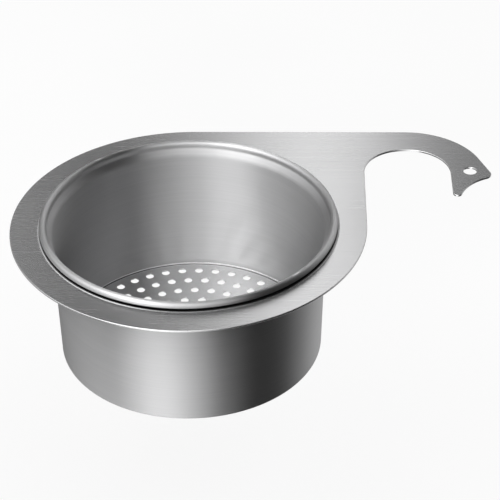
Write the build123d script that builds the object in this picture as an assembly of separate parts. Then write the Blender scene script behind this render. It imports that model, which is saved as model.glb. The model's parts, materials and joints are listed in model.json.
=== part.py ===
from build123d import *
import math
import os

# Hook-over sink strainer: a flat hanger plate (ring, neck and hooked head) that goes round
# a tap, and a perforated basket that hangs in the ring by its rolled rim and lifts out.
# Millimetres, +Z up. The origin is on the tap's axis, in the plane that the plate lies on.

# Hanger plate
PLATE_THICKNESS = 1.0
RING_RADIUS = 83.7
THROAT_RADIUS = 21.0
THROAT_TO_RING_Y = 46.3
HEAD_RADIUS = 37.8

# Beak and eye, measured from the tap's axis
FOREHEAD_ANGLE = 21.0
BEAK_TIP_RADIUS = 3.8
CHIN_CENTRE = (48.2, -26.6)
CHIN_RADIUS = 24.2
LOWER_TIP_RADIUS = 2.2
EYE_CENTRE = (30.5, 1.5)
EYE_RADIUS = 3.25

# Pressed seat round the ring's hole
HOLE_RADIUS = 67.3
SEAT_RISE = 0.5
SEAT_TOP_RADIUS = 69.3
SEAT_FOOT_RADIUS = 70.9

# Basket shell: wall radii are those of the middle of the sheet
SHEET = 0.6
BEAD_OUTER_RADIUS = 70.0
BEAD_TUBE_RADIUS = 1.72
BEAD_CLEARANCE = 0.2
CURL_SWEEP = 285.0
WALL_TOP = (64.45, -1.2)
FLARE_TOP_Z = 1.8
FLARE_RADII = (3.5, 2.0)
WALL_BOTTOM_RADIUS = 62.6
BASKET_BOTTOM_Z = -65.6
CORNER_RADIUS = 0.8
FLANGE_WIDTH = 4.4

# Perforated base, its rim turned up against the wall
BASE_THICKNESS = 0.4
BASE_RADIUS = 62.15
RIM_RISE = 0.75
RIM_BEND_RADIUS = 0.4
DRAIN_HOLE_RADIUS = 2.0
OUTER_ROW_RADIUS = 55.6
ROW_SPACING = 8.5
HOLE_SPACING = 8.42
ROW_COUNT = 7
FIRST_ROW_ANGLE = 88.8
ROW_TWIST = 0.8

# Places that follow from the sizes above
TAP = Vector(0, 0)
RING_CENTRE = Vector(-RING_RADIUS - THROAT_RADIUS, -THROAT_TO_RING_Y)
CHIN = Vector(*CHIN_CENTRE)
BASKET_AXIS = Location(RING_CENTRE)


def on_circle(centre, radius, degrees):
    """The point of a circle at an angle."""
    return centre + Vector(radius, 0).rotate(Axis.Z, degrees)


def angle_of(vector):
    return math.degrees(math.atan2(vector.Y, vector.X))


def arc(centre, radius, start_degrees, end_degrees):
    """An arc of a circle from one angle to another."""
    return CenterArc(centre, radius, start_degrees, end_degrees - start_degrees)


def throat_edges(lower_tip):
    """The slot that the tap stands in, from the ring's side to the beak's lower tip."""
    left = Vector(-THROAT_RADIUS, 0)
    right = Vector(THROAT_RADIUS, 0)
    return [
        Line((-THROAT_RADIUS, RING_CENTRE.Y), left),
        arc(TAP, THROAT_RADIUS, 180, 0),
        Line(right, (THROAT_RADIUS, lower_tip.Y)),
    ]


def beak_corner():
    """Where the straight forehead, drawn on, meets the chin's circle."""
    start = on_circle(TAP, HEAD_RADIUS, FOREHEAD_ANGLE)
    direction = on_circle(TAP, 1, FOREHEAD_ANGLE - 90)
    offset = start - CHIN
    along = offset.dot(direction)
    step = -along - math.sqrt(along**2 - offset.length**2 + CHIN_RADIUS**2)
    return start + direction * step


def beak_edges(lower_tip, corner):
    """The rounded lower tip, the hollow chin and the straight forehead."""
    chin_starts = angle_of(lower_tip - CHIN) % 360
    chin_ends = angle_of(corner - CHIN)
    return [
        arc(lower_tip, LOWER_TIP_RADIUS, -180, chin_starts - 180),
        arc(CHIN, CHIN_RADIUS, chin_starts, chin_ends),
        Line(corner, on_circle(TAP, HEAD_RADIUS, FOREHEAD_ANGLE)),
    ]


def rear_edges():
    """The head's arc, the straight rear edge that touches head and ring, and the ring."""
    lean = math.acos((RING_RADIUS - HEAD_RADIUS) / RING_CENTRE.length)
    rear_angle = angle_of(TAP - RING_CENTRE) + math.degrees(lean)
    return [
        arc(TAP, HEAD_RADIUS, FOREHEAD_ANGLE, rear_angle),
        Line(on_circle(TAP, HEAD_RADIUS, rear_angle), on_circle(RING_CENTRE, RING_RADIUS, rear_angle)),
        arc(RING_CENTRE, RING_RADIUS, rear_angle, 360),
    ]


def plate_face():
    """The hanger plate's flat outline, with its beak tip rounded."""
    lower_tip_x = THROAT_RADIUS + LOWER_TIP_RADIUS
    chin_reach = CHIN_RADIUS + LOWER_TIP_RADIUS
    chin_rise = math.sqrt(chin_reach**2 - (CHIN.X - lower_tip_x) ** 2)
    lower_tip = Vector(lower_tip_x, CHIN.Y + chin_rise)
    corner = beak_corner()
    edges = throat_edges(lower_tip) + beak_edges(lower_tip, corner) + rear_edges()
    face = make_face(Wire(edges))
    return fillet(face.vertices().sort_by_distance(corner)[0], BEAK_TIP_RADIUS)


def seat_ring():
    """The band round the hole, pressed up to carry the basket's rim."""
    rise = Vector(0, SEAT_RISE)
    thickness = Vector(0, PLATE_THICKNESS)
    foot = Vector(SEAT_FOOT_RADIUS, 0)
    top = Vector(SEAT_TOP_RADIUS, 0) + rise
    edge = Vector(HOLE_RADIUS, 0) + rise
    middle = (foot + top) * 0.5
    slope = [
        TangentArc(foot, middle, tangent=(-1, 0)),
        TangentArc(middle, top, tangent=(1, 0), tangent_from_first=False),
    ]
    underside = slope + [Line(top, edge)]
    upper_side = [Pos(*thickness) * line for line in underside]
    ends = [Line(foot, foot + thickness), Line(edge, edge + thickness)]
    section = make_face(Wire(underside + upper_side + ends))
    return revolve(Plane.XZ * section, Axis.Z)


def hanger_plate():
    blank = extrude(plate_face(), PLATE_THICKNESS)
    opening = BASKET_AXIS * Cylinder(SEAT_FOOT_RADIUS, 4 * PLATE_THICKNESS)
    eye = Pos(*EYE_CENTRE) * Cylinder(EYE_RADIUS, 4 * PLATE_THICKNESS)
    return blank - opening - eye + BASKET_AXIS * seat_ring()


def basket_shell():
    """Bottom flange, tapered wall, flare and rolled rim, bent from one sheet."""
    flange_z = BASKET_BOTTOM_Z + SHEET / 2
    bead_z = PLATE_THICKNESS + SEAT_RISE + BEAD_CLEARANCE + BEAD_TUBE_RADIUS
    bead_radius = BEAD_OUTER_RADIUS - BEAD_TUBE_RADIUS
    curl_radius = BEAD_TUBE_RADIUS - SHEET / 2
    rim_radius = bead_radius - curl_radius
    wall = FilletPolyline(
        (WALL_BOTTOM_RADIUS - FLANGE_WIDTH, flange_z),
        (WALL_BOTTOM_RADIUS, flange_z),
        WALL_TOP,
        (rim_radius, FLARE_TOP_Z),
        (rim_radius, bead_z),
        radius=(CORNER_RADIUS,) + FLARE_RADII,
    )
    curl = arc((bead_radius, bead_z), curl_radius, 180, 180 - CURL_SWEEP)
    section = trace(Wire(wall.edges() + curl.edges()), SHEET)
    return BASKET_AXIS * revolve(Plane.XZ * section, Axis.Z)


def drain_holes():
    """The centres of the base's holes, in rings, each ring turned a little from the last."""
    centres = []
    for row in range(ROW_COUNT):
        radius = OUTER_ROW_RADIUS - row * ROW_SPACING
        count = round(2 * math.pi * radius / HOLE_SPACING)
        half_step = 180 / count * (row % 2)
        first = FIRST_ROW_ANGLE + row * ROW_TWIST + half_step
        centres += [on_circle(Vector(0, 0), radius, first + 360 * i / count) for i in range(count)]
    return centres


def perforated_base():
    """A punched disc on the flange, with its rim turned up against the wall."""
    middle = BASE_THICKNESS / 2
    rim_line = FilletPolyline(
        (0, middle),
        (BASE_RADIUS - middle, middle),
        (BASE_RADIUS - middle, BASE_THICKNESS + RIM_RISE),
        radius=RIM_BEND_RADIUS + middle,
    )
    dish = revolve(Plane.XZ * trace(rim_line, BASE_THICKNESS), Axis.Z)
    punches = [Pos(*centre) * Cylinder(DRAIN_HOLE_RADIUS, 4 * BASE_THICKNESS) for centre in drain_holes()]
    return BASKET_AXIS * Pos(0, 0, BASKET_BOTTOM_Z + SHEET) * (dish - punches)


NODES = {
    "hanger_plate": hanger_plate,
    "basket_shell": basket_shell,
    "perforated_base": perforated_base,
}

os.makedirs("parts", exist_ok=True)
for name, build in NODES.items():
    export_step(build(), f"parts/{name}.step")
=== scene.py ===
import json
import math

import bmesh
import bpy
from mathutils import Matrix, Vector
from mathutils.geometry import delaunay_2d_cdt


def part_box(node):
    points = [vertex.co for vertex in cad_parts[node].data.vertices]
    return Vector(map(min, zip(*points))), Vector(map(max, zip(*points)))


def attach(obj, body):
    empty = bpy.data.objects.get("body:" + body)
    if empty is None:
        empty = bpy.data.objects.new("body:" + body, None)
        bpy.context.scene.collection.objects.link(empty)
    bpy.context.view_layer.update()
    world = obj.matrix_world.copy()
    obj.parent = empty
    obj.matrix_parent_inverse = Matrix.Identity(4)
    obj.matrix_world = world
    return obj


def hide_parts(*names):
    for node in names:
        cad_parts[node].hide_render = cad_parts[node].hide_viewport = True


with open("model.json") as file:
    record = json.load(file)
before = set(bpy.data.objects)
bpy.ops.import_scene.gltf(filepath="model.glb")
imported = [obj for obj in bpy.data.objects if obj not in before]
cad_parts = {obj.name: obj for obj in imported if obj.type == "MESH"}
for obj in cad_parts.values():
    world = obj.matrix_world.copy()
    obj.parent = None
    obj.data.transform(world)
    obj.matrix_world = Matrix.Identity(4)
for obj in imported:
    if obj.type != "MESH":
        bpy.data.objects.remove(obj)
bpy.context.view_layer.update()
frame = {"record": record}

MM = 0.001
TAU = 2 * math.pi

# ---------------------------------------------------------------- sizes from the frame
MOUNTS = {mount["name"]: mount for mount in frame["record"]["mounts"]}
PLATE_LOW, PLATE_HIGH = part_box("hanger_plate")
SHELL_LOW, SHELL_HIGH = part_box("basket_shell")
BASE_LOW, BASE_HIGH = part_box("perforated_base")

TAP = Vector((0.0, 0.0))
THROAT_RADIUS = MOUNTS["tap_hook"]["dims"]["r_mm"] * MM
PLATE_THICKNESS = MOUNTS["tap_hook"]["dims"]["length_mm"] * MM
HEAD_RADIUS = PLATE_HIGH.y
EYE_CENTRE = Vector(MOUNTS["eye_hole"]["pos_m"][:2])
EYE_RADIUS = MOUNTS["eye_hole"]["dims"]["r_mm"] * MM
RING_CENTRE = (SHELL_LOW.xy + SHELL_HIGH.xy) / 2
RING_RADIUS = RING_CENTRE.y - PLATE_LOW.y

# The beak's curves, measured from the tap's axis
FOREHEAD_ANGLE = math.radians(21.0)
BEAK_TIP_RADIUS = 3.8 * MM
CHIN = Vector((48.2 * MM, -26.6 * MM))
CHIN_RADIUS = 24.2 * MM
LOWER_TIP_RADIUS = 2.2 * MM

# The pressed seat round the ring's hole
HOLE_RADIUS = 67.3 * MM
SEAT_TOP_RADIUS = 69.3 * MM
SEAT_FOOT_RADIUS = 70.9 * MM
SEAT_RISE = PLATE_HIGH.z - PLATE_THICKNESS

# The basket's sheet
SHEET = 0.6 * MM
BEAD_TUBE_RADIUS = 1.72 * MM
BEAD_RADIUS = (SHELL_HIGH.x - SHELL_LOW.x) / 2 - BEAD_TUBE_RADIUS
BEAD_Z = SHELL_HIGH.z - BEAD_TUBE_RADIUS
CURL_SWEEP = math.radians(285.0)
WALL_TOP = Vector((64.45 * MM, -1.2 * MM))
FLARE_TOP_Z = 1.8 * MM
WALL_BOTTOM_RADIUS = 62.6 * MM
BEND_RADII = (0.8 * MM, 3.5 * MM, 2.0 * MM)
FLANGE_WIDTH = 4.4 * MM

# The punched disc and its turned-up rim
BASE_RADIUS = (BASE_HIGH.x - BASE_LOW.x) / 2
BASE_THICKNESS = 0.4 * MM
RIM_BEND_RADIUS = 0.4 * MM
DRAIN_HOLE_RADIUS = 2.0 * MM
OUTER_ROW_RADIUS = 55.6 * MM
ROW_SPACING = 8.5 * MM
HOLE_SPACING = 8.42 * MM
ROW_COUNT = 7
FIRST_ROW_ANGLE = math.radians(88.8)
ROW_TWIST = math.radians(0.8)

# How finely the pieces are divided
ROUND_STEPS = 288
EYE_STEPS = 48
HOLE_STEPS = 24
EASE_STEPS = 3
SEAT_STEPS = 6
HEM_STEPS = 6
ARC_STEP = math.radians(1.25)
BEND_STEP = math.radians(9.0)
RIM_BEND_DEGREES = 15
RIM_EASE_DEGREES = 18

# A long straight stretch is cut into this many parts, and has points this near its ends
LONG_STRETCH = 10 * MM
LONG_PARTS = 8
END_POINT_GAP = 0.4 * MM

# How far the cut edges are eased, and how far the plate keeps inside the CAD one
PLATE_EDGE = 0.22 * MM
DRAIN_EDGE = 0.1 * MM
RIM_EASE = 0.17 * MM
EDGE_CLEARANCE = 0.01 * MM

# Points nearer than this are one point: along an outline, in a piece, and in a flat face
SAME_OUTLINE_POINT = 0.01 * MM
SAME_POINT = 0.0005 * MM
SAME_FACE_POINT = 1e-9


# ---------------------------------------------------------------- outlines
def unit(angle):
    return Vector((math.cos(angle), math.sin(angle)))


def arc(centre, radius, start, end, hollow=False, step=ARC_STEP):
    """(point, outward direction) along an arc. A hollow arc has its metal outside it."""
    count = max(2, round(abs(end - start) / step))
    angles = [start + (end - start) * i / count for i in range(count + 1)]
    side = -1 if hollow else 1
    return [(centre + unit(a) * radius, unit(a) * side) for a in angles]


def circle(centre, radius, steps, hollow=False):
    return arc(centre, radius, 0.0, TAU, hollow, TAU / steps)[:-1]


def without_repeats(points):
    kept = []
    for point, way in points:
        if not kept or (point - kept[-1][0]).length > SAME_OUTLINE_POINT:
            kept.append((point, way))
    return kept


def beak_tip_centre():
    """Centre of the rounding that joins the straight forehead to the chin's hollow."""
    forehead = unit(FOREHEAD_ANGLE) * (HEAD_RADIUS - BEAK_TIP_RADIUS)
    along = unit(FOREHEAD_ANGLE - math.pi / 2)
    reach = CHIN_RADIUS + BEAK_TIP_RADIUS
    offset = forehead - CHIN
    lean = offset.dot(along)
    return forehead - along * (lean + math.sqrt(lean**2 - offset.length_squared + reach**2))


def plate_outline():
    """The hanger plate's outline, from the throat round the beak and head to the ring."""
    lower_x = THROAT_RADIUS + LOWER_TIP_RADIUS
    reach = CHIN_RADIUS + LOWER_TIP_RADIUS
    lower_tip = Vector((lower_x, CHIN.y + math.sqrt(reach**2 - (CHIN.x - lower_x) ** 2)))
    tip = beak_tip_centre()
    chin_from = math.atan2(lower_tip.y - CHIN.y, lower_tip.x - CHIN.x)
    chin_to = math.atan2(tip.y - CHIN.y, tip.x - CHIN.x)
    rear = math.atan2(-RING_CENTRE.y, -RING_CENTRE.x)
    rear += math.acos((RING_RADIUS - HEAD_RADIUS) / RING_CENTRE.length)
    points = arc(TAP, THROAT_RADIUS, math.pi, 0.0, hollow=True)
    points += arc(lower_tip, LOWER_TIP_RADIUS, -math.pi, chin_from - math.pi)
    points += arc(CHIN, CHIN_RADIUS, chin_from, chin_to, hollow=True)
    points += arc(tip, BEAK_TIP_RADIUS, chin_to - math.pi, FOREHEAD_ANGLE)
    points += arc(TAP, HEAD_RADIUS, FOREHEAD_ANGLE, rear)
    points += arc(RING_CENTRE, RING_RADIUS, rear, TAU)
    return without_repeats(points)


def drain_holes():
    centres = []
    for row in range(ROW_COUNT):
        radius = OUTER_ROW_RADIUS - ROW_SPACING * row
        count = round(TAU * radius / HOLE_SPACING)
        half_step = math.pi / count * (row % 2)
        first = FIRST_ROW_ANGLE + ROW_TWIST * row + half_step
        centres += [RING_CENTRE + unit(first + TAU * i / count) * radius for i in range(count)]
    return centres


# ---------------------------------------------------------------- mesh building
def skin(bm, rows):
    """Smooth quads between neighbouring rows of points, each row a closed loop."""
    rings = [[bm.verts.new(point) for point in row] for row in rows]
    for low, high in zip(rings, rings[1:]):
        for i in range(len(low)):
            j = (i + 1) % len(low)
            bm.faces.new((low[i], low[j], high[j], high[i])).smooth = True


def flat_face(bm, loops, z):
    """A flat face inside the first loop and outside the others, which are round."""
    points, edges, loop_of = [], [], []
    for number, loop in enumerate(loops):
        first = len(points)
        points += loop
        edges += [(first + i, first + (i + 1) % len(loop)) for i in range(len(loop))]
        loop_of += [number] * len(loop)
    corners, _, triangles, origins, *_ = delaunay_2d_cdt(points, edges, [], 1, SAME_FACE_POINT)
    verts = [bm.verts.new((*corner, z)) for corner in corners]
    for triangle in triangles:
        touched = {loop_of[origins[i][0]] for i in triangle}
        if len(touched) > 1 or touched == {0}:
            bm.faces.new([verts[i] for i in triangle])


def eased_edge(outline, low, high, ease):
    """Rows of points up a cut edge, from the bottom face to the top one, its corners eased."""
    rows = []
    for centre_z, start in ((low + ease, -90.0), (high - ease, 0.0)):
        for i in range(EASE_STEPS + 1):
            lift = unit(math.radians(start + 90.0 * i / EASE_STEPS)) * ease
            z = centre_z + lift.y
            rows.append([(*(point + way * (lift.x - ease)), z) for point, way in outline])
    return rows


def inset(outline, depth):
    return [point - way * depth for point, way in outline]


def round_ring(radius):
    """Points round the ring's axis."""
    return [RING_CENTRE + unit(TAU * i / ROUND_STEPS) * radius for i in range(ROUND_STEPS)]


def lathe(bm, profile):
    """The profile's (radius, z) points turned round the ring's axis, the profile left open."""
    skin(bm, [[(*point, p.y) for point in round_ring(p.x)] for p in profile])


def piece(name, bm, body, node, material, grain_uv):
    """Closes the mesh, gives it its grain direction and sets it on its CAD body."""
    bmesh.ops.remove_doubles(bm, verts=bm.verts, dist=SAME_POINT)
    bmesh.ops.recalc_face_normals(bm, faces=bm.faces)
    layer = bm.loops.layers.uv.new("Grain")
    for face in bm.faces:
        for loop, uv in zip(face.loops, grain_uv(face)):
            loop[layer].uv = uv
    mesh = bpy.data.meshes.new(name)
    bm.to_mesh(mesh)
    bm.free()
    mesh.materials.append(material)
    made = bpy.data.objects.new(name, mesh)
    bpy.context.scene.collection.objects.link(made)
    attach(made, body)
    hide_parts(node)
    return made


def straight_grain(face):
    """Grain along X: the map's first axis runs across it, and climbs the cut edges."""
    return [(v.co.y + v.co.z / 2, v.co.x + v.co.z / 4) for v in face.verts]


def round_grain(face):
    """Grain round the ring's axis: the map's first axis runs up the wall."""
    middle = face.calc_center_median().xy - RING_CENTRE
    base = math.atan2(middle.y, middle.x)
    uvs = []
    for vert in face.verts:
        way = vert.co.xy - RING_CENTRE
        turn = math.remainder(math.atan2(way.y, way.x) - base, TAU) + base
        uvs.append((vert.co.z + way.length, turn * WALL_TOP.x))
    return uvs


# ---------------------------------------------------------------- the three shapes
def seat_profile():
    """The pressed seat in section, from the plate's top face over its lip to the underside."""
    rise, run = SEAT_RISE, SEAT_FOOT_RADIUS - SEAT_TOP_RADIUS
    curve = (run**2 + rise**2) / (4 * rise)
    sweep = math.asin(run / 2 / curve)
    top = []
    for i in range(SEAT_STEPS + 1):
        angle = sweep * i / SEAT_STEPS
        top.append(Vector((SEAT_FOOT_RADIUS - curve * math.sin(angle), curve * (1 - math.cos(angle)))))
    for i in range(SEAT_STEPS - 1, -1, -1):
        angle = sweep * i / SEAT_STEPS
        top.append(Vector((SEAT_TOP_RADIUS + curve * math.sin(angle), rise - curve * (1 - math.cos(angle)))))
    ease = PLATE_EDGE
    lip = Vector((HOLE_RADIUS + ease, rise))
    section = [point + Vector((0.0, PLATE_THICKNESS)) for point in top]
    for i in range(EASE_STEPS + 1):
        lift = unit(math.radians(90.0 + 90.0 * i / EASE_STEPS)) * ease
        section.append(lip + lift + Vector((0.0, PLATE_THICKNESS - ease)))
    for i in range(EASE_STEPS + 1):
        lift = unit(math.radians(180.0 + 90.0 * i / EASE_STEPS)) * ease
        section.append(lip + lift + Vector((0.0, ease)))
    return section + top[::-1]


def plate_mesh():
    bm = bmesh.new()
    outline = [(point - way * EDGE_CLEARANCE, way) for point, way in plate_outline()]
    eye = circle(EYE_CENTRE, EYE_RADIUS, EYE_STEPS, hollow=True)
    flat_loops = [inset(outline, PLATE_EDGE), inset(eye, PLATE_EDGE), round_ring(SEAT_FOOT_RADIUS)]
    for z in (0.0, PLATE_THICKNESS):
        flat_face(bm, flat_loops, z)
    for edge in (outline, eye):
        skin(bm, eased_edge(edge, 0.0, PLATE_THICKNESS, PLATE_EDGE))
    lathe(bm, seat_profile())
    return bm


def turn_about(centre, radius, start, end, step):
    """Points round a centre, from one whole number of degrees to another, both included."""
    way = 1 if end > start else -1
    return [centre + unit(math.radians(angle)) * radius for angle in range(start, end + way, way * step)]


def rim_profile():
    """The disc's turned-up rim in section, from its top face over its lip to the underside."""
    outer_bend = BASE_THICKNESS + RIM_BEND_RADIUS
    bend = Vector((BASE_RADIUS - outer_bend, BASE_LOW.z + outer_bend))
    lip = Vector((BASE_RADIUS - BASE_THICKNESS / 2, BASE_HIGH.z - RIM_EASE))
    section = turn_about(bend, RIM_BEND_RADIUS, -90, 0, RIM_BEND_DEGREES)
    for side, start in ((-1, 180), (1, 90)):
        corner = lip + Vector((side * (BASE_THICKNESS / 2 - RIM_EASE), 0.0))
        section += turn_about(corner, RIM_EASE, start, start - 90, RIM_EASE_DEGREES)
    return section + turn_about(bend, outer_bend, 0, -90, RIM_BEND_DEGREES)


def base_mesh():
    bm = bmesh.new()
    low, high = BASE_LOW.z, BASE_LOW.z + BASE_THICKNESS
    rim = rim_profile()
    holes = [circle(centre, DRAIN_HOLE_RADIUS, HOLE_STEPS, hollow=True) for centre in drain_holes()]
    flat_loops = [round_ring(rim[0].x), *[inset(hole, DRAIN_EDGE) for hole in holes]]
    for z in (low, high):
        flat_face(bm, flat_loops, z)
    for hole in holes:
        skin(bm, eased_edge(hole, low, high, DRAIN_EDGE))
    lathe(bm, rim)
    return bm


def sheet_line():
    """(point, direction) along the middle of the basket's sheet, from flange to curled rim."""
    foot_z = SHELL_LOW.z + SHEET / 2
    curl_radius = BEAD_TUBE_RADIUS - SHEET / 2
    curl_start = Vector((BEAD_RADIUS - curl_radius, BEAD_Z))
    corners = [
        Vector((WALL_BOTTOM_RADIUS - FLANGE_WIDTH, foot_z)),
        Vector((WALL_BOTTOM_RADIUS, foot_z)),
        WALL_TOP,
        Vector((curl_start.x, FLARE_TOP_Z)),
        curl_start,
    ]
    line = []
    stretch_from = corners[0]
    for before, corner, after, radius in zip(corners, corners[1:], corners[2:], BEND_RADII):
        way_in = (corner - before).normalized()
        way_out = (after - corner).normalized()
        turn = way_in.angle_signed(way_out)
        cut = radius * math.tan(abs(turn) / 2)
        line += straight(stretch_from, corner - way_in * cut)
        side = -1 if turn > 0 else 1
        centre = corner - way_in * cut + Vector((-way_in.y, way_in.x)) * radius * side
        count = max(2, math.ceil(abs(turn) / BEND_STEP))
        for i in range(1, count):
            way = turned(way_in, -turn * i / count)
            line.append((centre - Vector((-way.y, way.x)) * radius * side, way))
        stretch_from = corner + way_out * cut
    line += straight(stretch_from, corners[-1])
    centre = Vector((BEAD_RADIUS, BEAD_Z))
    count = math.ceil(CURL_SWEEP / BEND_STEP)
    for i in range(1, count + 1):
        angle = math.pi - CURL_SWEEP * i / count
        line.append((centre + unit(angle) * curl_radius, turned(unit(angle), -math.pi / 2)))
    return line


def turned(way, angle):
    return Vector((
        way.x * math.cos(angle) - way.y * math.sin(angle),
        way.x * math.sin(angle) + way.y * math.cos(angle),
    ))


def straight(start, end):
    """A straight stretch, with points near its ends that keep the shading flat between them."""
    way = (end - start).normalized()
    length = (end - start).length
    near = min(END_POINT_GAP, length / 4)
    stops = [0.0, near, length - near, length]
    if length > LONG_STRETCH:
        stops[2:2] = [length * i / LONG_PARTS for i in range(1, LONG_PARTS)]
    return [(start + way * stop, way) for stop in stops]


def shell_mesh():
    half = SHEET / 2
    line = sheet_line()
    left = [point + turned(way, math.pi / 2) * half for point, way in line]
    right = [point + turned(way, -math.pi / 2) * half for point, way in line]
    ends = []
    for point, way in (line[-1], (line[0][0], -line[0][1])):
        turns = [math.pi / 2 - math.pi * i / HEM_STEPS for i in range(1, HEM_STEPS)]
        ends.append([point + turned(way, turn) * half for turn in turns])
    section = left + ends[0] + right[::-1] + ends[1]
    bm = bmesh.new()
    lathe(bm, section + section[:1])
    return bm


# ---------------------------------------------------------------- materials
def node(tree, kind, inputs=None, **settings):
    made = tree.nodes.new(kind)
    for name, value in settings.items():
        setattr(made, name, value)
    for name, value in (inputs or {}).items():
        if isinstance(value, bpy.types.NodeSocket):
            tree.links.new(value, made.inputs[name])
        else:
            made.inputs[name].default_value = value
    return made


def noise(tree, place, stretch, detail=2.0, roughness=0.5):
    spread = node(tree, "ShaderNodeMapping", {"Vector": place, "Scale": stretch})
    made = node(
        tree,
        "ShaderNodeTexNoise",
        {"Vector": spread.outputs["Vector"], "Scale": 1.0, "Detail": detail, "Roughness": roughness},
    )
    return made.outputs["Fac"]


def to_range(tree, value, low, high, from_low=0.3, from_high=0.7):
    made = node(
        tree,
        "ShaderNodeMapRange",
        {"Value": value, "From Min": from_low, "From Max": from_high, "To Min": low, "To Max": high},
    )
    return made.outputs["Result"]


def combine(tree, operation, first, second=0.0):
    made = node(tree, "ShaderNodeMath", {0: first, 1: second}, operation=operation)
    return made.outputs[0]


def length_of(tree, x, y):
    flat = node(tree, "ShaderNodeCombineXYZ", {"X": x, "Y": y}).outputs[0]
    return node(tree, "ShaderNodeVectorMath", {0: flat}, operation="LENGTH").outputs["Value"]


def mix_colours(tree, share, first, second):
    made = node(tree, "ShaderNodeMix", {"Factor": share, "A": first, "B": second}, data_type="RGBA")
    return made.outputs[2]


def smooth_rise(tree, value, start, end):
    """0 before start and 1 after end, with a soft turn at each."""
    made = node(
        tree,
        "ShaderNodeMapRange",
        {"Value": value, "From Min": start, "From Max": end},
        interpolation_type="SMOOTHSTEP",
    )
    return made.outputs["Result"]


# How the brushed steel is made up
GRAIN_SHARE, SCRATCH_SHARE = 0.6, 0.4
TINT_FROM, TINT_TO = 0.32, 0.68
HANDLING_REPEAT = 26.0
RELIEF_DEPTH = 0.01 * MM
WORN_COLOUR = (0.68, 0.68, 0.684, 1.0)
WORN_POLISH = 0.08
# Painted shade: the near-black laid into the gaps between parts, where shade falls
PAINTED_SHADE_COLOUR = (0.02, 0.02, 0.02, 1.0)
# A sheet's edge shows as its normal leaves the upright, other edges by their pointiness
SHEET_EDGE_FROM, SHEET_EDGE_TO = 0.6, 0.9
POINTED_FROM, POINTED_TO = 0.52, 0.62
# The upright share of the normal, from a cut's side to the face it was punched through
PUNCHED_FROM, PUNCHED_TO = 0.3, 0.9


def paint_gap_shade(tree, place, colour, radius, height, near, far):
    """Painted shade: darkens the colour near a circle round the ring's axis, where the gap between parts
    lies in shade.
    """
    shift = node(tree, "ShaderNodeVectorMath", {0: place, 1: (*RING_CENTRE, height)}, operation="SUBTRACT")
    split = node(tree, "ShaderNodeSeparateXYZ", {"Vector": shift.outputs[0]}).outputs
    reach = length_of(tree, split["X"], split["Y"])
    gap = length_of(tree, combine(tree, "SUBTRACT", reach, radius), split["Z"])
    return mix_colours(tree, smooth_rise(tree, gap, near, far), PAINTED_SHADE_COLOUR, colour)


def steel(
    name,
    streak,
    fine,
    tint,
    roughness,
    anisotropy,
    relief,
    unevenness,
    gap_shade,
    flat=False,
    punched=0.0,
    polish=None,
):
    """Brushed stainless steel, its grain and scratches repeating streak and fine times a metre
    along X, Y and Z.

    The circle of painted gap shade is given as radius, height, near and far. flat is a sheet that lies
    level.
    punched is how much rougher its cut edges are. polish is how much smoother the metal gets,
    as the height where that starts, the height where it is complete, and the amount.
    """
    material = bpy.data.materials.new(name)
    material.use_nodes = True
    tree = material.node_tree
    shader = tree.nodes["Principled BSDF"]
    place = node(tree, "ShaderNodeTexCoord").outputs["Object"]
    grain = noise(tree, place, streak, 3.0, 0.6)
    scratches = noise(tree, place, fine, 2.0, 0.6)
    handling = noise(tree, place, (HANDLING_REPEAT,) * 3, 3.0, 0.55)
    surface = node(tree, "ShaderNodeNewGeometry").outputs
    if flat:
        facing = node(tree, "ShaderNodeSeparateXYZ", {"Vector": surface["Normal"]}).outputs["Z"]
        level = combine(tree, "ABSOLUTE", facing)
        edges = to_range(tree, level, 1.0, 0.0, SHEET_EDGE_FROM, SHEET_EDGE_TO)
    else:
        edges = to_range(tree, surface["Pointiness"], 0.0, 1.0, POINTED_FROM, POINTED_TO)

    grain_part = combine(tree, "MULTIPLY", grain, GRAIN_SHARE)
    scratch_part = combine(tree, "MULTIPLY", scratches, SCRATCH_SHARE)
    mixed = combine(tree, "ADD", grain_part, scratch_part)
    ramp = node(tree, "ShaderNodeValToRGB", {"Fac": mixed})
    for stop, position, shade in zip(ramp.color_ramp.elements, (TINT_FROM, TINT_TO), tint):
        stop.position = position
        stop.color = (*shade, 1.0)
    worn = mix_colours(tree, edges, ramp.outputs["Color"], WORN_COLOUR)
    # Shade painted into the base colour round the gap's circle
    tree.links.new(paint_gap_shade(tree, place, worn, *gap_shade), shader.inputs["Base Color"])

    grain_change = to_range(tree, mixed, -unevenness, unevenness)
    handling_change = to_range(tree, handling, -unevenness, unevenness)
    rough = combine(tree, "ADD", grain_change, handling_change)
    rough = combine(tree, "ADD", rough, roughness)
    rough = combine(tree, "SUBTRACT", rough, combine(tree, "MULTIPLY", edges, WORN_POLISH))
    if punched:
        dull = to_range(tree, level, punched, 0.0, PUNCHED_FROM, PUNCHED_TO)
        rough = combine(tree, "ADD", rough, dull)
    if polish:
        start, end, depth = polish
        height = node(tree, "ShaderNodeSeparateXYZ", {"Vector": place}).outputs["Z"]
        rough = combine(tree, "SUBTRACT", rough, to_range(tree, height, 0.0, depth, start, end))
    tree.links.new(rough, shader.inputs["Roughness"])

    bump = node(tree, "ShaderNodeBump", {"Strength": relief, "Distance": RELIEF_DEPTH, "Height": scratches})
    tree.links.new(bump.outputs["Normal"], shader.inputs["Normal"])
    tangent = node(tree, "ShaderNodeTangent", direction_type="UV_MAP", uv_map="Grain")
    tree.links.new(tangent.outputs["Tangent"], shader.inputs["Tangent"])
    shader.inputs["Metallic"].default_value = 1.0
    shader.inputs["Anisotropic"].default_value = anisotropy
    return material


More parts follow.
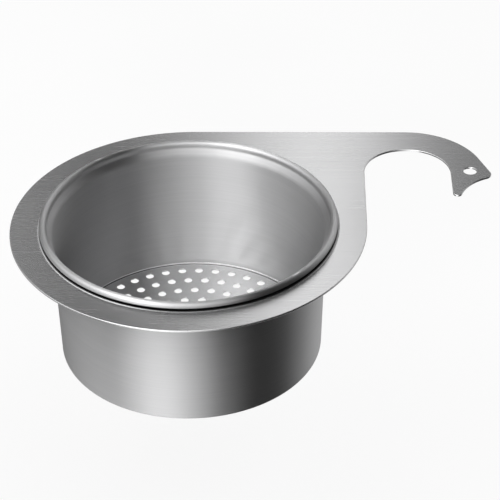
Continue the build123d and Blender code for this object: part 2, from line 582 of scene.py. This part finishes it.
PLATE_STEEL = steel(
    "plate_steel",
    streak=(9.0, 1500.0, 1500.0),
    fine=(30.0, 4200.0, 4200.0),
    tint=((0.38, 0.38, 0.383), (0.43, 0.43, 0.433)),
    roughness=0.27,
    anisotropy=1.0,
    relief=0.012,
    unevenness=0.006,
    # Shade painted on the seat where the bead sits on it
    gap_shade=(69.0 * MM, PLATE_HIGH.z, 0.9 * MM, 1.5 * MM),
    flat=True,
)
SHELL_STEEL = steel(
    "shell_steel",
    streak=(9.0, 9.0, 1300.0),
    fine=(40.0, 40.0, 4200.0),
    tint=((0.44, 0.44, 0.444), (0.49, 0.49, 0.494)),
    roughness=0.44,
    anisotropy=1.0,
    relief=0.25,
    unevenness=0.02,
    # Shade painted on the bead's underside, over the seat
    gap_shade=(BEAD_RADIUS + 1.1 * MM, BEAD_Z - 1.9 * MM, 1.0 * MM, 1.7 * MM),
    polish=(1.0 * MM, 2.6 * MM, 0.08),
)
BASE_STEEL = steel(
    "base_steel",
    streak=(40.0, 900.0, 900.0),
    fine=(90.0, 3200.0, 3200.0),
    tint=((0.84, 0.84, 0.844), (0.92, 0.92, 0.924)),
    roughness=0.18,
    anisotropy=0.5,
    relief=0.1,
    unevenness=0.015,
    # Shade painted at the disc's edge, in the gap at the wall
    gap_shade=(BASE_RADIUS - 0.8 * MM, BASE_LOW.z + BASE_THICKNESS, 0.2 * MM, 0.42 * MM),
    flat=True,
    punched=0.5,
)

plate = piece("plate", plate_mesh(), "hanger", "hanger_plate", PLATE_STEEL, straight_grain)
shell = piece("shell", shell_mesh(), "basket", "basket_shell", SHELL_STEEL, round_grain)
base = piece("base", base_mesh(), "basket", "perforated_base", BASE_STEEL, straight_grain)

# ---------------------------------------------------------------- floor and studio light
FLOOR_DROP = 70 * MM
FLOOR_HALF = 6.0
FLOOR_GLOW = 0.8
FLOOR_MOTTLE = (0.97, 1.0)
FLOOR_REPEAT = (3.0, 3.0, 3.0)


def floor_material():
    """A pale matt floor that is mostly its own light, and is clear from underneath."""
    material = bpy.data.materials.new("pale_floor")
    material.use_nodes = True
    tree = material.node_tree
    tree.nodes.clear()
    place = node(tree, "ShaderNodeTexCoord").outputs["Object"]
    mottle = to_range(tree, noise(tree, place, FLOOR_REPEAT), *FLOOR_MOTTLE)
    matt = node(tree, "ShaderNodeBsdfDiffuse", {"Color": (0.95, 0.95, 0.95, 1.0)})
    glow = node(tree, "ShaderNodeEmission", {"Color": (1.0, 1.0, 1.0, 1.0), "Strength": mottle})
    top = node(tree, "ShaderNodeMixShader", {0: FLOOR_GLOW, 1: matt.outputs[0], 2: glow.outputs[0]})
    clear = node(tree, "ShaderNodeBsdfTransparent")
    below = node(tree, "ShaderNodeNewGeometry").outputs["Backfacing"]
    both = node(tree, "ShaderNodeMixShader", {0: below, 1: top.outputs[0], 2: clear.outputs[0]})
    node(tree, "ShaderNodeOutputMaterial", {"Surface": both.outputs[0]})
    return material


def floor_mesh():
    mesh = bpy.data.meshes.new("floor")
    bm = bmesh.new()
    z = SHELL_LOW.z - FLOOR_DROP
    ends = ((-1, -1), (1, -1), (1, 1), (-1, 1))
    bm.faces.new([bm.verts.new((x * FLOOR_HALF, y * FLOOR_HALF, z)) for x, y in ends])
    bm.to_mesh(mesh)
    bm.free()
    mesh.materials.append(floor_material())
    return mesh


floor = bpy.data.objects.new("floor", floor_mesh())
bpy.context.scene.collection.objects.link(floor)
floor.visible_glossy = False

# The soft light that the steel mirrors, in three rings, one above another, and a dim cap
# overhead. Each ring is (bearing in degrees, brightness), anticlockwise from -X, with +X at 0.
# The narrow strips at 85 to 100 degrees stand behind the object, where it is mostly the flat
# plate that mirrors them. The levels began as a least-squares fit, made by another program, to the
# tones of the reference photograph. They were then rounded, scaled and partly changed.
LOW_RING = (
    (-180, 0.5),
    (-150, 0.3),
    (-120, 1.55),
    (-105, 1.6),
    (-90, 1.05),
    (-62, 0.05),
    (-8, 0.03),
    (30, 0.7),
    (45, 0.8),
    (90, 0.3),
    (120, 0.2),
)
MIDDLE_RING = (
    (-180, 2.7),
    (-140, 4.0),
    (-115, 3.6),
    (-100, 2.5),
    (-80, 2.1),
    (-60, 1.5),
    (-38, 0.12),
    (20, 0.12),
    (60, 1.0),
    (75, 0.9),
    (81, 0.35),
    (85, 0.5),
    (88.5, 3.5),
    (91, 2.7),
    (92.5, 1.4),
    (94.3, 0.7),
    (96, 0.12),
    (97.5, 0.05),
    (99.5, 0.65),
    (106, 0.5),
    (114, 0.3),
    (150, 1.7),
)
HIGH_RING = (
    (-180, 4.2),
    (-160, 5.8),
    (-140, 5.6),
    (-100, 3.2),
    (-60, 1.7),
    (-20, 0.0),
    (125, 0.0),
    (160, 2.6),
)
OVERHEAD = 0.5
# Heights, as the sine of the elevation, between which one level gives way to the next
LOW_TO_MIDDLE = (0.2, 0.46)
MIDDLE_TO_HIGH = (0.72, 0.88)
HIGH_TO_OVERHEAD = (0.94, 0.975)


def light_ring(tree, share, ring):
    """The ring's brightness at a bearing, given as a share of the whole turn."""
    brightest = max(level for _, level in ring)
    closing = [(180, ring[0][1])]
    ramp = node(tree, "ShaderNodeValToRGB", {"Fac": share})
    stops = ramp.color_ramp.elements
    while len(stops) < len(ring) + 1:
        stops.new(1.0)
    for stop, (degrees, level) in zip(stops, [*ring, *closing]):
        stop.position = (degrees + 180) / 360
        tone = level / brightest
        stop.color = (tone, tone, tone, 1.0)
    return combine(tree, "MULTIPLY", ramp.outputs["Color"], brightest)


def blend_levels(tree, height, span, low, high):
    """The low level below the span of heights and the high one above it."""
    share = smooth_rise(tree, height, *span)
    return node(tree, "ShaderNodeMix", {"Factor": share, "A": low, "B": high}).outputs["Result"]


def studio_world():
    world = bpy.data.worlds.new("studio")
    world.use_nodes = True
    world.cycles.sampling_method = "NONE"
    tree = world.node_tree
    tree.nodes.clear()
    way = node(tree, "ShaderNodeTexCoord").outputs["Generated"]
    split = node(tree, "ShaderNodeSeparateXYZ", {"Vector": way})
    height = split.outputs["Z"]
    bearing = combine(tree, "ARCTAN2", split.outputs["Y"], split.outputs["X"])
    share = to_range(tree, bearing, 0.0, 1.0, -math.pi, math.pi)
    low, middle, high = [light_ring(tree, share, ring) for ring in (LOW_RING, MIDDLE_RING, HIGH_RING)]
    level = blend_levels(tree, height, LOW_TO_MIDDLE, low, middle)
    level = blend_levels(tree, height, MIDDLE_TO_HIGH, level, high)
    level = blend_levels(tree, height, HIGH_TO_OVERHEAD, level, OVERHEAD)
    mirrored = node(tree, "ShaderNodeBackground", {"Strength": level})
    seen = node(tree, "ShaderNodeBackground", {"Strength": 1.0})
    for background in (mirrored, seen):
        background.inputs["Color"].default_value = (1.0, 1.0, 1.0, 1.0)
    glossy = node(tree, "ShaderNodeLightPath").outputs["Is Glossy Ray"]
    both = node(tree, "ShaderNodeMixShader", {0: glossy, 1: seen.outputs[0], 2: mirrored.outputs[0]})
    node(tree, "ShaderNodeOutputWorld", {"Surface": both.outputs[0]})
    return world


scene = bpy.context.scene
scene.world = studio_world()
scene.view_settings.view_transform = "Standard"

# ---------------------------------------------------------------- camera
# From a least-squares fit, made by another program, to points measured on the photograph
CAMERA_PLACE = Vector((47.88, -773.16, 515.92)) * MM
CAMERA_ELEVATION = math.radians(34.452)
CAMERA_HEADING = math.radians(1.421)
CAMERA_ROLL = math.radians(-0.5225)
SENSOR_WIDTH = 36.0
FOCAL_LENGTH = 142.8

camera_data = bpy.data.cameras.new("camera")
camera_data.sensor_width = SENSOR_WIDTH
camera_data.lens = FOCAL_LENGTH
camera = bpy.data.objects.new("camera", camera_data)
scene.collection.objects.link(camera)
aim = Matrix.Rotation(CAMERA_HEADING, 4, "Z") @ Matrix.Rotation(math.pi / 2 - CAMERA_ELEVATION, 4, "X")
aim = aim @ Matrix.Rotation(CAMERA_ROLL, 4, "Z")
plate_top = Vector((*RING_CENTRE, PLATE_THICKNESS))
camera.matrix_world = Matrix.Translation(plate_top + CAMERA_PLACE) @ aim
scene.camera = camera
